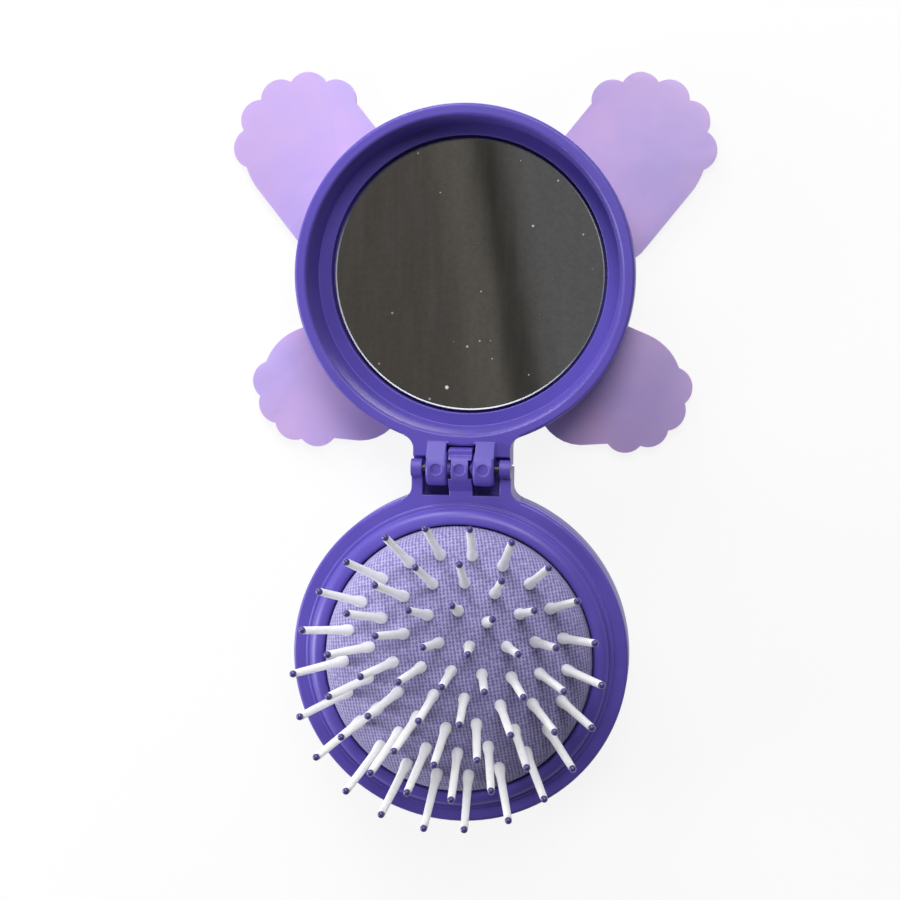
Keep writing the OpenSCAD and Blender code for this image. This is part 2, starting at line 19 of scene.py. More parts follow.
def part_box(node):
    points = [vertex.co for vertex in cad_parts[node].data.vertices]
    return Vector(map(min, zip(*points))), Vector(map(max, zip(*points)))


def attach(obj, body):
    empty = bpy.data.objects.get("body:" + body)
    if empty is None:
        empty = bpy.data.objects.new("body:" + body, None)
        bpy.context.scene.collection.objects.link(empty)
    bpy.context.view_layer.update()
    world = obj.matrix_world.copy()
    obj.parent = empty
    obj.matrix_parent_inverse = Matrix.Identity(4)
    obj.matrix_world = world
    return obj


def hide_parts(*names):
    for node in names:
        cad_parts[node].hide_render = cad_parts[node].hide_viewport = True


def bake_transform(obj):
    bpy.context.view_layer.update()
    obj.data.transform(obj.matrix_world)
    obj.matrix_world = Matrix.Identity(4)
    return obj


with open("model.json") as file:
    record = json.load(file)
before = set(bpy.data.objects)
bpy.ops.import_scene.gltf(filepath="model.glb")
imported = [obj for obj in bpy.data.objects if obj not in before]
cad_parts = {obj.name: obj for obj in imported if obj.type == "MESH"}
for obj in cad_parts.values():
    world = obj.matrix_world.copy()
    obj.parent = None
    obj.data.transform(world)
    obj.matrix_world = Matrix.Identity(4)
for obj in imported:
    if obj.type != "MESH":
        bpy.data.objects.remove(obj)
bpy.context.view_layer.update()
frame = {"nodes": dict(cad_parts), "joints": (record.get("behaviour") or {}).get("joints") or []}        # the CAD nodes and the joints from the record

MM = 0.001

# %% [markdown]
# ## Where things are
#
# Three places carry everything else: the hinge's axis, the middle of the cushion and the middle of
# the mirror. They are read from the frame, so the script follows when the model changes.

# %% Find the three places
hinge = Vector(next(j for j in frame["joints"] if j["name"] == "lid_hinge")["pos_m"])
seam_z = hinge.z


def middle_of(node):
    """The middle of a CAD node's box, at the height of the closed seam."""
    low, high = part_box(node)
    return Vector(((low.x + high.x) / 2, (low.y + high.y) / 2, seam_z))


brush_middle = middle_of("rubber_cushion")
lid_middle = middle_of("mirror_glass")
print("hinge", hinge, "brush", brush_middle, "lid", lid_middle)

# %% [markdown]
# ## The camera
#
# The brush lies open on its back and the camera looks down on it from about 42 cm, slightly from
# the right and from the mirror's side. A long lens at that distance keeps the two discs nearly
# round. The camera's three axes are the rows of a rotation matrix, and its place is measured from
# the hinge.

# %% Set up the camera
VIEW_DISTANCE = 420.4               # mm from the hinge, along the lens axis
VIEW_TURNS = (5.8, -6.81, -0.52)    # degrees about X, Y and Z
VIEW_SHIFT = (-2.21, 3.67)          # how far the lens axis passes beside the hinge, in mm
FIELD_WIDTH = 180                   # millimetres across the frame at the hinge
SENSOR = 36                         # width of the sensor in mm
NEAREST = 0.01                      # metres; nothing stands nearer to the lens


def turned(x, y, z):
    """Three turns in degrees as one rotation matrix."""
    about = [Matrix.Rotation(math.radians(a), 3, axis) for a, axis in ((x, "X"), (y, "Y"), (z, "Z"))]
    return about[0] @ about[1] @ about[2]


camera_axes = turned(*VIEW_TURNS).transposed()
camera = bpy.data.objects.new("camera", bpy.data.cameras.new("camera"))
camera.data.sensor_width = SENSOR
camera.data.lens = SENSOR * VIEW_DISTANCE / FIELD_WIDTH
camera.data.clip_start = NEAREST
place = hinge + camera_axes @ Vector((*VIEW_SHIFT, VIEW_DISTANCE)) * MM
camera.matrix_world = Matrix.Translation(place) @ camera_axes.to_4x4()
bpy.context.scene.collection.objects.link(camera)
bpy.context.scene.camera = camera
print("camera at", [round(x, 3) for x in place], "lens", round(camera.data.lens, 2))

# %% [markdown]
# ## Helpers for node trees
#
# Materials and Geometry Nodes are both node trees. One small class adds a node, sets its fields
# and fills its inputs: an input given as a socket is linked, one given as a value is set. With it,
# a tree reads like a list of steps.

# %% A node tree that is easy to write
class Tree:
    """A node tree with short ways to add what this script needs."""

    def __init__(self, tree):
        self.tree = tree

    def add(self, kind, inputs=(), **fields):
        """A new node, with its fields set and its inputs linked or filled."""
        node = self.tree.nodes.new(kind)
        for name, value in fields.items():
            setattr(node, name, value)
        for key, value in dict(inputs).items():
            if isinstance(value, bpy.types.NodeSocket):
                self.tree.links.new(value, node.inputs[key])
            else:
                node.inputs[key].default_value = value
        return node

    def math(self, operation, *values):
        """The result of a Math node."""
        return self.add("ShaderNodeMath", enumerate(values), operation=operation).outputs[0]

    def vector(self, operation, *values):
        """A Vector Math node; its outputs differ by operation."""
        return self.add("ShaderNodeVectorMath", enumerate(values), operation=operation)

    def noise(self, at, size, detail=2.0):
        """Smooth noise from 0 to 1, with blobs about as wide as size, in the unit of the place."""
        return self.add("ShaderNodeTexNoise", {"Vector": at, "Scale": 1 / size,
                                               "Detail": detail}).outputs["Fac"]

    def spread(self, value, low, high, to_low=0.0, to_high=1.0):
        """Stretches low..high to to_low..to_high, and cuts what lies outside."""
        return self.add("ShaderNodeMapRange", {"Value": value, "From Min": low, "From Max": high,
                                               "To Min": to_low, "To Max": to_high}).outputs[0]

    def swell(self, value, middle, reach):
        """1 where the value is at the middle, falling smoothly to 0 at reach on both sides."""
        away = self.math("ABSOLUTE", self.math("SUBTRACT", value, middle))
        return self.add("ShaderNodeMapRange", {"Value": away, "From Min": reach, "From Max": 0.0},
                        interpolation_type="SMOOTHSTEP").outputs[0]

    def blend(self, share, first, second):
        """A colour between two colours; share 0 is the first."""
        node = self.add("ShaderNodeMix", {"Factor": share}, data_type="RGBA")
        colours = [s for s in node.inputs if s.type == "RGBA"]
        for socket, colour in zip(colours, (first, second)):
            if isinstance(colour, bpy.types.NodeSocket):
                self.tree.links.new(colour, socket)
            else:
                socket.default_value = (*colour, 1)
        return next(s for s in node.outputs if s.type == "RGBA")

    def bump(self, height, strength, depth, **base):
        """A normal that leans with a height; depth is the relief in metres of a height of 1."""
        return self.add("ShaderNodeBump", {"Height": height, "Strength": strength,
                                           "Distance": depth, **base}).outputs[0]


def finish_tree(name, **constants):
    """A new material with one Principled shader; returns the material, its tree and the shader.

    What is the same all over the surface is set on the shader's own sockets, by their names with
    an underscore for each space.
    """
    material = bpy.data.materials.new(name)
    material.use_nodes = True
    material.node_tree.nodes.clear()
    tree = Tree(material.node_tree)
    skin = tree.add("ShaderNodeBsdfPrincipled",
                    {key.replace("_", " "): value for key, value in constants.items()})
    tree.add("ShaderNodeOutputMaterial", {"Surface": skin.outputs["BSDF"]})
    return material, tree, skin


def connect(tree, skin, **sockets):
    """Links what varies over the surface to the shader, by the same kind of names."""
    for key, socket in sockets.items():
        tree.tree.links.new(socket, skin.inputs[key.replace("_", " ")])


def object_place(tree):
    """The place on the object in metres; pieces made here have the frame's origin."""
    return tree.add("ShaderNodeTexCoord").outputs["Object"]


# %% [markdown]
# ## Room and floor
#
# A product shot on white, taken in a dim room, which is what the mirror shows. The floor's white is
# partly its own, for the camera and for glossy surfaces, and it still takes the object's shadow.

# %% Make the room and the floor
ROOM_LIGHT = 0.14         # share of the light that comes evenly from the room
FLOOR_SIZE = 30.0         # metres; its far edge then lies just under the horizon
FLOOR_GAP = 0.02          # mm under the object, so that the two share no plane
FLOOR_COLOUR = (0.94, 0.94, 0.94)
FLOOR_OWN_WHITE = 0.87    # share of the floor's white that no shadow darkens


def make_room():
    """An even pale light from all sides."""
    world = bpy.data.worlds.new("pale room")
    world.use_nodes = True
    world.node_tree.nodes.clear()
    tree = Tree(world.node_tree)
    air = tree.add("ShaderNodeBackground", {"Color": (1, 1, 1, 1), "Strength": ROOM_LIGHT})
    tree.add("ShaderNodeOutputWorld", {"Surface": air.outputs[0]})
    bpy.context.scene.world = world


def make_floor():
    """A matt floor; for the camera, gloss and glass part of its white is its own."""
    bpy.ops.mesh.primitive_plane_add(size=FLOOR_SIZE, location=(0, 0, -FLOOR_GAP * MM))
    floor = bpy.context.object
    floor.name = "floor"
    material, tree, skin = finish_tree("white floor", Roughness=0.9, Specular_IOR_Level=0.0,
                                       Base_Color=(*FLOOR_COLOUR, 1))
    path = tree.add("ShaderNodeLightPath").outputs
    seen = tree.math("MAXIMUM", path["Is Camera Ray"], path["Is Glossy Ray"])
    seen = tree.math("MAXIMUM", seen, path["Is Transmission Ray"])
    white = tree.add("ShaderNodeEmission", {"Color": (1, 1, 1, 1), "Strength": 1.0})
    share = tree.math("MULTIPLY", seen, FLOOR_OWN_WHITE)
    shown = tree.add("ShaderNodeMixShader", {0: share, 1: skin.outputs[0], 2: white.outputs[0]})
    output = next(n for n in tree.tree.nodes if n.type == "OUTPUT_MATERIAL")
    tree.tree.links.new(shown.outputs[0], output.inputs["Surface"])
    floor.data.materials.append(material)


make_room()
make_floor()
bpy.context.scene.view_settings.view_transform = "Standard"
print("room light", ROOM_LIGHT, "and a floor", FLOOR_SIZE, "m wide")

# %% [markdown]
# ### Three soft lamps
#
# One lamp hangs high behind the mirror half. Two hang low, on the far left and on the left: they
# graze the rims and put bright lines on them. A share of 1 would light a white surface that faces
# up to exactly white, so a lamp's watts follow from its share, its distance and its slant. The
# shares of the room and the lamps add up to a little more than 1, so that a colour renders about
# as it is written.

# %% Hang the lamps
LAMPS = [                 # name, place in metres from the hinge, size, share of the light
    ("high key", (0.084, 0.312, 0.445), 0.27, 0.45),
    ("low far", (-0.194, 0.479, 0.188), 0.27, 0.22),
    ("low left", (-0.39, -0.08, 0.12), 0.21, 0.22),
]


def add_lamp(name, offset, size, share):
    """A round lamp that faces the hinge; returns the watts that give it its share there."""
    lamp = bpy.data.lights.new(name, "AREA")
    lamp.shape = "DISK"
    lamp.size = size
    reach = Vector(offset)
    slant = reach.z / reach.length
    lamp.energy = share * math.pi ** 2 * reach.length_squared / slant
    lamp_object = bpy.data.objects.new(name, lamp)
    lamp_object.location = hinge + reach
    lamp_object.rotation_euler = reach.to_track_quat("Z", "Y").to_euler()
    bpy.context.scene.collection.objects.link(lamp_object)
    return lamp.energy


for name, offset, size, share in LAMPS:
    print(name, round(add_lamp(name, offset, size, share), 2), "W")

# %% [markdown]
# ## Violet moulded plastic
#
# The case is injection-moulded ABS, half glossy and blue-violet. A real moulding is never one flat
# colour: the melt leaves faint clouds and the surface has a fine orange peel. Sharp edges are
# painted lighter: mostly a painted highlight, where a rounded edge would catch the lamps, and a
# little handled wear. The Bevel node rounds the shading of sharp edges by a third of a millimetre,
# and comparing its normal with the true one tells where an edge is.

# %% Make the case plastic
VIOLET = (0.112, 0.08, 0.44)
VIOLET_CLOUD = (0.094, 0.066, 0.40)
# the lighter colour of sharp edges: a painted highlight, with a little handled wear
VIOLET_EDGE_HIGHLIGHT = (0.24, 0.20, 0.64)
EDGE_HIGHLIGHT_SHARE = 0.6          # how far the sharpest edge takes on that colour
EDGE_SHADE_R = 0.32       # millimetres, like the four sizes below
CLOUD_SIZE = 14
PEEL_SIZE = 0.9
GRAIN_SIZE = 0.12
PEEL_DEPTH = 0.012


def make_case_plastic():
    material, tree, skin = finish_tree("violet ABS", Specular_IOR_Level=0.4)
    at = object_place(tree)
    clouds = tree.noise(at, CLOUD_SIZE * MM, detail=3)
    peel = tree.noise(at, PEEL_SIZE * MM, detail=2)
    grain = tree.noise(at, GRAIN_SIZE * MM, detail=1)
    smooth = tree.add("ShaderNodeBevel", {"Radius": EDGE_SHADE_R * MM}, samples=8).outputs[0]
    true_normal = tree.add("ShaderNodeNewGeometry").outputs["Normal"]
    along = tree.vector("DOT_PRODUCT", smooth, true_normal).outputs["Value"]
    edge = tree.spread(along, 1.0, 0.7)
    colour = tree.blend(tree.spread(clouds, 0.35, 0.7), VIOLET, VIOLET_CLOUD)
    # painted highlight along sharp edges, partly handled wear
    colour = tree.blend(tree.math("MULTIPLY", edge, EDGE_HIGHLIGHT_SHARE), colour, VIOLET_EDGE_HIGHLIGHT)
    height = tree.math("MULTIPLY_ADD", grain, 0.3, peel)
    bump = tree.bump(height, 0.25, PEEL_DEPTH * MM, Normal=smooth)
    shine = tree.spread(clouds, 0.3, 0.75, 0.34, 0.44)
    connect(tree, skin, Base_Color=colour, Roughness=shine, Normal=bump)
    return material


violet_plastic = make_case_plastic()


def dress(node, material):
    """Gives a CAD node one material; the frame keeps its shape and place."""
    mesh = frame["nodes"][node].data
    mesh.materials.clear()
    mesh.materials.append(material)


for node in ("brush_frame", "back_cover", "cushion_retainer", "lid_shell", "thumb_button"):
    dress(node, violet_plastic)
print("dressed the case in", violet_plastic.name)

# %% [markdown]
# ## The rubber cushion
#
# The cushion is one thin dome of soft rubber. It is clamped at its edge and pops up and down, so
# its middle moves 19 mm while its edge stays. The frame can bend a mesh between two bodies along
# one line, so the dome is cut like a cake, and each wedge's bend line is its own bisector. Three
# strips per wedge follow the real curve of the sinking dome. Their seams lie on straight chords
# across the wedge, where the travel is the same for both neighbours, so that the outer skin would
# stay closed. Here the wedges are cut and their bend lines worked out; no wedge is given a body or
# a bend.
#
# The outline in section is a formula: an arc of 47 mm rolls over a shoulder into an upright wall.
# Every point comes from its distance along that line, and the same distance gives the UV map, so
# that the weave lies on the rubber without stretching.

# %% Describe the cushion's section
DOME_R = 47 * MM
SHOULDER_R = 5 * MM       # where the dome rolls over
WALL_R = 26.9 * MM        # outside of the upright wall
RUBBER_T = 1.2 * MM
WEDGES = 16
dome_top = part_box("rubber_cushion")[1].z
cushion_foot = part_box("rubber_cushion")[0].z
dome_centre = Vector((brush_middle.x, brush_middle.y, dome_top - DOME_R))
roll_angle = math.asin((WALL_R - SHOULDER_R) / (DOME_R - SHOULDER_R))
dome_arc = DOME_R * roll_angle
roll_arc = SHOULDER_R * (math.pi / 2 - roll_angle)
roll_centre_z = dome_centre.z + (DOME_R - SHOULDER_R) * math.cos(roll_angle)
section_length = dome_arc + roll_arc + roll_centre_z - cushion_foot


def section(along, depth):
    """Radius and height of the point at a distance along the section, depth under the skin."""
    if along < dome_arc:
        angle = along / DOME_R
        radius = DOME_R * math.sin(angle)
        height = dome_centre.z + DOME_R * math.cos(angle)
    elif along < dome_arc + roll_arc:
        angle = roll_angle + (along - dome_arc) / SHOULDER_R
        radius = WALL_R - SHOULDER_R + SHOULDER_R * math.sin(angle)
        height = roll_centre_z + SHOULDER_R * math.cos(angle)
    else:
        angle = math.pi / 2
        radius = WALL_R
        height = roll_centre_z - (along - dome_arc - roll_arc)
    return radius - depth * math.sin(angle), height - depth * math.cos(angle), angle


print("section", round(section_length / MM, 1), "mm, rolls over at", round(math.degrees(roll_angle)))

# %% [markdown]
# ## How far each part of the rubber sinks
#
# The frame names a body for the middle of the cushion and for each ring of pins, and the end of
# each body's slide is how far that ring sinks when the brush is closed. The rubber between the
# rings follows one parabola. A strip that bends between two bodies sinks by a smoothstep of the
# distance, so the two points where its smoothstep starts and ends are solved from the travel at
# the strip's two edges. The upright wall is clamped in the collar, so the skirt's bend stops short
# of it, at the nearest chord of the inner wall. Sixteen narrow wedges keep that chord close to the
# wall; with eight, the sinking edge would show scallops.

# %% Work out the strips
RING_RADII = [0.0, 5.94, 11.6, 16.87, 21.95]   # mm, from the middle ring outwards
CROWN_EDGE = 14.0                              # mm, between the second and the third ring
travel = {j["child"]: j["range_m"][1] for j in frame["joints"] if j["type"] == "slide"}
outer_share = travel["cushion_zone_4"] / travel["cushion_centre"]
fade = RING_RADII[4] / math.sqrt(1 - outer_share)


def sinks(radius):
    """Travel of the rubber at a radius in mm, in metres."""
    return travel["cushion_centre"] * (1 - (radius / fade) ** 2)


def smooth_place(share):
    """Where a smoothstep from 0 to 1 has reached a share."""
    return 0.5 - math.sin(math.asin(1 - 2 * min(share, 1.0)) / 3)


def bend_line(body, inner, outer, inner_travel, outer_travel):
    """Radii, in mm, at which the strip's bend starts (nothing sinks) and ends (all of it does)."""
    t_in = smooth_place(inner_travel / travel[body])
    t_out = smooth_place(outer_travel / travel[body])
    slope = (t_in - t_out) / (outer - inner)
    return inner + t_in / slope, inner - (1 - t_in) / slope


wall_mm = WALL_R / MM
still_mm = (WALL_R - RUBBER_T) / MM * math.cos(math.pi / WEDGES)   # nearest chord of the inner wall
STRIPS = [   # name, body, inner and outer chord in mm, travel there, rows of faces
    ("crown", "cushion_centre", 0.0, CROWN_EDGE, travel["cushion_centre"], sinks(CROWN_EDGE), 12),
    ("slope", "cushion_zone_2", CROWN_EDGE, RING_RADII[4], sinks(CROWN_EDGE),
     travel["cushion_zone_4"], 8),
    ("skirt", "cushion_zone_4", RING_RADII[4], wall_mm, travel["cushion_zone_4"], 0.0, 22),
]
bends = {name: bend_line(body, inner, min(outer, still_mm), sink_in, sink_out)
         for name, body, inner, outer, sink_in, sink_out, _ in STRIPS}
for name, radii in bends.items():
    print(name, "bends between radii", [round(radius, 1) for radius in radii])

# %% [markdown]
# ### A wedge strip as a closed block
#
# Each block has the outer skin, the inner skin and four cut faces, so it is closed on its own. The
# skins get their normals from the formula and not from the faces. Two blocks that meet then shade
# as one surface, and the cuts can't be seen.

# %% Lay out the corners of a block
WEDGE_COLUMNS = 5         # faces across a wedge
half_wedge = math.pi / WEDGES


def chord_place(chord, off_angle):
    """Distance along the section of a chord's point, off_angle beside the wedge's bisector."""
    return DOME_R * math.asin(chord * MM / math.cos(off_angle) / DOME_R)


def block_corners(wedge, inner, outer, rows):
    """Places, normals and places on the flat print of all corners, by skin, row and column."""
    bisector = 2 * half_wedge * wedge
    points, normals, flat = [], [], []
    for depth in (0.0, RUBBER_T):
        for row in range(rows + 1):
            for column in range(WEDGE_COLUMNS + 1):
                off = half_wedge * (2 * column / WEDGE_COLUMNS - 1)
                first = chord_place(inner, off)
                last = section_length if outer == wall_mm else chord_place(outer, off)
                along = first + (last - first) * row / rows
                radius, height, tilt = section(along, depth)
                turn = Vector((math.cos(bisector + off), math.sin(bisector + off), 0))
                points.append(Vector((brush_middle.x, brush_middle.y, height)) + turn * radius)
                outward = turn * math.sin(tilt) + Vector((0, 0, math.cos(tilt)))
                normals.append(outward if depth == 0 else -outward)
                flat.append(((turn.x * along) / MM, (turn.y * along) / MM))
    return points, normals, flat


print(WEDGES, "wedges of", WEDGE_COLUMNS, "columns of faces")

# %% [markdown]
# ### Joining the corners
#
# Both skins get a face for every row and column, and walls between them close the block. All
# corners of the crown's first row lie at the dome's pole, so they become one.

# %% Build the wedge blocks
def block_faces(inner, rows):
    """Faces as lists of corner numbers, and for each face whether it lies on a skin."""
    def at(skin, row, column):
        return (skin * (rows + 1) + row) * (WEDGE_COLUMNS + 1) + column

    def wall(first, last):     # a face between the skins, from one row and column to the next
        return [at(0, *first), at(1, *first), at(1, *last), at(0, *last)]

    faces, on_skin = [], []
    for row in range(rows):
        for column in range(WEDGE_COLUMNS):
            near, far = (row, column), (row + 1, column + 1)
            faces.append([at(0, *near), at(0, far[0], near[1]), at(0, *far), at(0, near[0], far[1])])
            faces.append([at(1, *near), at(1, near[0], far[1]), at(1, *far), at(1, far[0], near[1])])
            on_skin += [True, True]
    for column in range(WEDGE_COLUMNS):
        faces.append(wall((rows, column), (rows, column + 1)))
        if inner > 0:
            faces.append(wall((0, column + 1), (0, column)))
    for row in range(rows):
        faces.append(wall((row, 0), (row + 1, 0)))
        faces.append(wall((row + 1, WEDGE_COLUMNS), (row, WEDGE_COLUMNS)))
    on_skin += [False] * (len(faces) - len(on_skin))
    if inner == 0:     # all columns of the first row are the pole: keep one point of it per skin
        pole = {at(skin, 0, column): at(skin, 0, 0) for skin in (0, 1)
                for column in range(WEDGE_COLUMNS + 1)}
        faces = [list(dict.fromkeys(pole.get(i, i) for i in face)) for face in faces]
    return faces, on_skin


def strip_block(name, wedge, inner, outer, rows):
    """One block's mesh, with its map and the formula's normals on its skins."""
    points, normals, flat = block_corners(wedge, inner, outer, rows)
    faces, on_skin = block_faces(inner, rows)
    used = sorted({i for face in faces for i in face})
    place = {old: new for new, old in enumerate(used)}
    mesh = bpy.data.meshes.new(name)
    mesh.from_pydata([points[i] for i in used], [], [[place[i] for i in f] for f in faces])
    mesh.update()
    weave_map = mesh.uv_layers.new(name="weave")
    corner_normals = []
    for polygon, skin, face in zip(mesh.polygons, on_skin, faces):
        polygon.use_smooth = skin
        for loop, corner in zip(polygon.loop_indices, face):
            weave_map.uv[loop].vector = flat[corner]
            corner_normals.append(normals[corner] if skin else polygon.normal)
    mesh.normals_split_custom_set(corner_normals)
    return mesh


# %% [markdown]
# ### Rubber with a woven relief and painted shade in its hollows
#
# The skin is moulded with a canvas relief, a thread about every three quarters of a millimetre.
# Two ridges cross, and a sign that changes from crossing to crossing lifts one thread over the
# other. The upright threads stand higher, so the light catches them as short dashes, and a noise
# about as wide as a thread makes some of them fuller than others. The relief feeds the bump, and
# its hollows are painted darker, a painted shade, and are duller than its threads.

# %% Make the woven rubber
THREAD = 0.73           # millimetres from thread to thread
WEAVE_TURN = -9.0       # degrees
WEAVE_DEPTH = 0.16      # mm
STRAY = 0.35            # mm that a thread wanders from side to side
STRAY_LENGTH = 5.0      # mm over which it does
WARP = (0.17, 0.76)     # rise of an upright thread where it lies on top, and its middle height
WEFT = (-0.17, 0.6)     # the same for a thread across, which dips where the other rises
BLOTCH_SIZE = 6         # mm
FADE_SIZE = 0.5         # mm
RUBBER_THREAD = (0.39, 0.36, 0.63)
# the colour of the weave's hollows is a painted shade
RUBBER_HOLLOW_SHADE = (0.13, 0.108, 0.31)
RUBBER_WORN = (0.45, 0.42, 0.69)


def weave_relief(tree, flat_map):
    """Height of a plain weave, from 0 in the holes to 1 on the threads."""
    map_mm = tree.add("ShaderNodeUVMap", uv_map=flat_map).outputs["UV"]
    wander = tree.noise(map_mm, STRAY_LENGTH, detail=1)
    turned_map = tree.add("ShaderNodeMapping", {"Vector": map_mm,
                                                "Rotation": (0, 0, math.radians(WEAVE_TURN))})
    parts = tree.add("ShaderNodeSeparateXYZ", {0: turned_map.outputs[0]})
    drift = tree.math("MULTIPLY", tree.math("SUBTRACT", wander, 0.5), STRAY)
    warp, weft = (tree.math("MULTIPLY", tree.math("ADD", parts.outputs[i], drift), math.pi / THREAD)
                  for i in (0, 1))
    over = tree.math("MULTIPLY", tree.math("COSINE", warp), tree.math("COSINE", weft))
    ridges = []
    for angle, (rise, level) in ((warp, WARP), (weft, WEFT)):
        ridge = tree.math("POWER", tree.math("ABSOLUTE", tree.math("COSINE", angle)), 1.1)
        lift = tree.math("MULTIPLY_ADD", over, rise, level)
        ridges.append(tree.math("MULTIPLY", ridge, lift))
    fullness = tree.spread(tree.noise(map_mm, THREAD * 1.3, detail=1), 0.3, 0.7, 0.7, 1.12)
    return tree.math("MULTIPLY", tree.math("MAXIMUM", *ridges), fullness)


def make_woven_rubber():
    material, tree, skin = finish_tree("woven lavender rubber", Sheen_Weight=0.15,
                                       Sheen_Roughness=0.6, Specular_IOR_Level=0.35)
    relief = weave_relief(tree, "weave")
    at = object_place(tree)
    blotch = tree.noise(at, BLOTCH_SIZE * MM, detail=3)
    uneven_shade_and_tone = tree.noise(at, FADE_SIZE * MM, detail=2)
    # painted shade: the hollows of the relief are coloured darker than the threads, a little unevenly
    depth = tree.spread(relief, 0.28, 0.7)
    thread = tree.blend(tree.spread(blotch, 0.4, 0.7, 0.0, 0.6), RUBBER_THREAD, RUBBER_WORN)
    colour = tree.blend(tree.math("MULTIPLY", depth, tree.spread(uneven_shade_and_tone, 0.25, 0.6, 0.8, 1.0)),
                        RUBBER_HOLLOW_SHADE, thread)
    connect(tree, skin, Base_Color=colour, Normal=tree.bump(relief, 0.6, WEAVE_DEPTH * MM),
            Roughness=tree.spread(relief, 0.2, 0.9, 0.85, 0.6))
    return material


woven_rubber = make_woven_rubber()
print("rubber with", round(1 / THREAD, 2), "threads for each millimetre")

# %% [markdown]
# ### Sixteen wedges of three strips
#
# Every wedge of every strip becomes a block of its own in the woven rubber, and the CAD cushion is
# hidden. The bend radii worked out above, from where nothing sinks to where everything does, are
# printed but not given to the blocks.

# %% Cut the cushion into blocks
def add_piece(name, mesh, *materials):
    """A mesh as an object of the scene, with its materials in this order."""
    piece = bpy.data.objects.new(name, mesh)
    mesh.name = name
    mesh.materials.clear()
    for material in materials:
        mesh.materials.append(material)
    bpy.context.scene.collection.objects.link(piece)
    return piece


for name, body, inner, outer, sink_in, sink_out, rows in STRIPS:
    start, end = bends[name]
    for wedge in range(WEDGES):
        mesh = strip_block(name, wedge, inner, outer, rows)
        piece = add_piece(f"cushion_{name}_{wedge + 1}", mesh, woven_rubber)
        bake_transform(piece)
        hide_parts("rubber_cushion")
    print(name, "strip:", WEDGES, "wedges of", len(mesh.polygons), "faces")

# %% [markdown]
# ## Pins and ball tips
#
# The pins are injection-moulded nylon: a wide sleeve at the foot, a tapering shaft, and a ball
# dipped on the end. 58 of them stand in rings on the dome, square to the rubber, each a little
# out of true. That is a job for Geometry Nodes. One pin is turned on a lathe, standing upright at
# the origin, and the tree puts a copy on every place of a ring. The ball tips use the same tree
# and the same seed, so each ball leans with its pin.

# %% Turn a shape on the lathe
def lathe(name, profile, segments, middle=Vector((0, 0, 0))):
    """A closed turned shape about Z; profile is (radius, height) from the bottom pole to the top."""
    form = bmesh.new()
    rings = []
    for radius, height in profile:
        if radius == 0:
            rings.append([form.verts.new(middle + Vector((0, 0, height)))] * segments)
            continue
        turns = (2 * math.pi * i / segments for i in range(segments))
        rings.append([form.verts.new(middle + Vector((radius * math.cos(a), radius * math.sin(a), height)))
                      for a in turns])
    for low, high in zip(rings, rings[1:]):
        for i in range(segments):
            j = (i + 1) % segments
            corners = list(dict.fromkeys((low[i], low[j], high[j], high[i])))
            form.faces.new(corners)
    mesh = bpy.data.meshes.new(name)
    form.to_mesh(mesh)
    form.free()
    mesh.shade_smooth()
    return mesh


def arc(x, z, radius, first, last, steps):
    """Points of an arc in a profile, angles in degrees from the radius axis."""
    turns = (math.radians(first + (last - first) * i / steps) for i in range(steps + 1))
    return [(x + radius * math.cos(a), z + radius * math.sin(a)) for a in turns]


def in_mm(profile):
    """A profile written in millimetres, turned into metres."""
    return [(radius * MM, height * MM) for radius, height in profile]


PIN_SEGMENTS = 16
PIN_LENGTH = 16.4                   # mm from the rubber's skin to the middle of the ball
BALL_R = 0.71
BALL_FOOT_R = 0.5                   # where the ball is cut flat
SHAFT_TIP_R = 0.74
TIP_HEIGHT = PIN_LENGTH - 0.35      # the shaft ends flat, and the ball's foot is sunk in it
TIP_EDGE_R = 0.2
pin_profile = [
    # the anchor head under the rubber, and the shank that goes through it
    (0, -1.9), (1.45, -1.9), *arc(1.45, -1.75, 0.15, -45, 0, 2), (1.6, -1.4), (1.5, -1.3),
    (0.8, -1.3), (0.8, 0.1),
    # the wide sleeve on top of the rubber, which narrows upwards
    (1.0, 0.1), *arc(0.91, 0.35, 0.22, -60, 0, 3), (1.15, 0.8), (1.14, 1.5), (1.05, 2.2),
    (0.94, 2.9), (0.87, 3.7),
    # the long shaft and its rounded end
    (0.83, 5.5), (0.78, 11.5), (SHAFT_TIP_R, TIP_HEIGHT - 0.3),
    *arc(SHAFT_TIP_R - TIP_EDGE_R, TIP_HEIGHT - TIP_EDGE_R, TIP_EDGE_R, 20, 90, 3), (0, TIP_HEIGHT),
]
ball_start = -math.degrees(math.acos(BALL_FOOT_R / BALL_R))
ball_profile = [(0, PIN_LENGTH + BALL_R * math.sin(math.radians(ball_start))),
                *arc(0, PIN_LENGTH, BALL_R, ball_start, 80, 8), (0, PIN_LENGTH + BALL_R)]
pin_mesh = lathe("one pin", in_mm(pin_profile), PIN_SEGMENTS)
ball_mesh = lathe("one ball tip", in_mm(ball_profile), PIN_SEGMENTS)
print("one pin has", len(pin_mesh.polygons), "faces, one ball", len(ball_mesh.polygons))

# %% [markdown]
# ### The ring tree
#
# For every place the tree works out an angle from its number, then a vector of the dome's radius.
# That vector is both where the pin's foot is, seen from the dome's centre, and the way it points.

# %% Write the ring tree
RING_INPUTS = (("One Pin", "Geometry"), ("Count", "Int"), ("Ring Radius", "Float"),
               ("First Angle", "Float"), ("Dome Radius", "Float"), ("Dome Centre", "Vector"),
               ("Out Of True", "Float"), ("Seed", "Int"), ("Finish", "Material"))


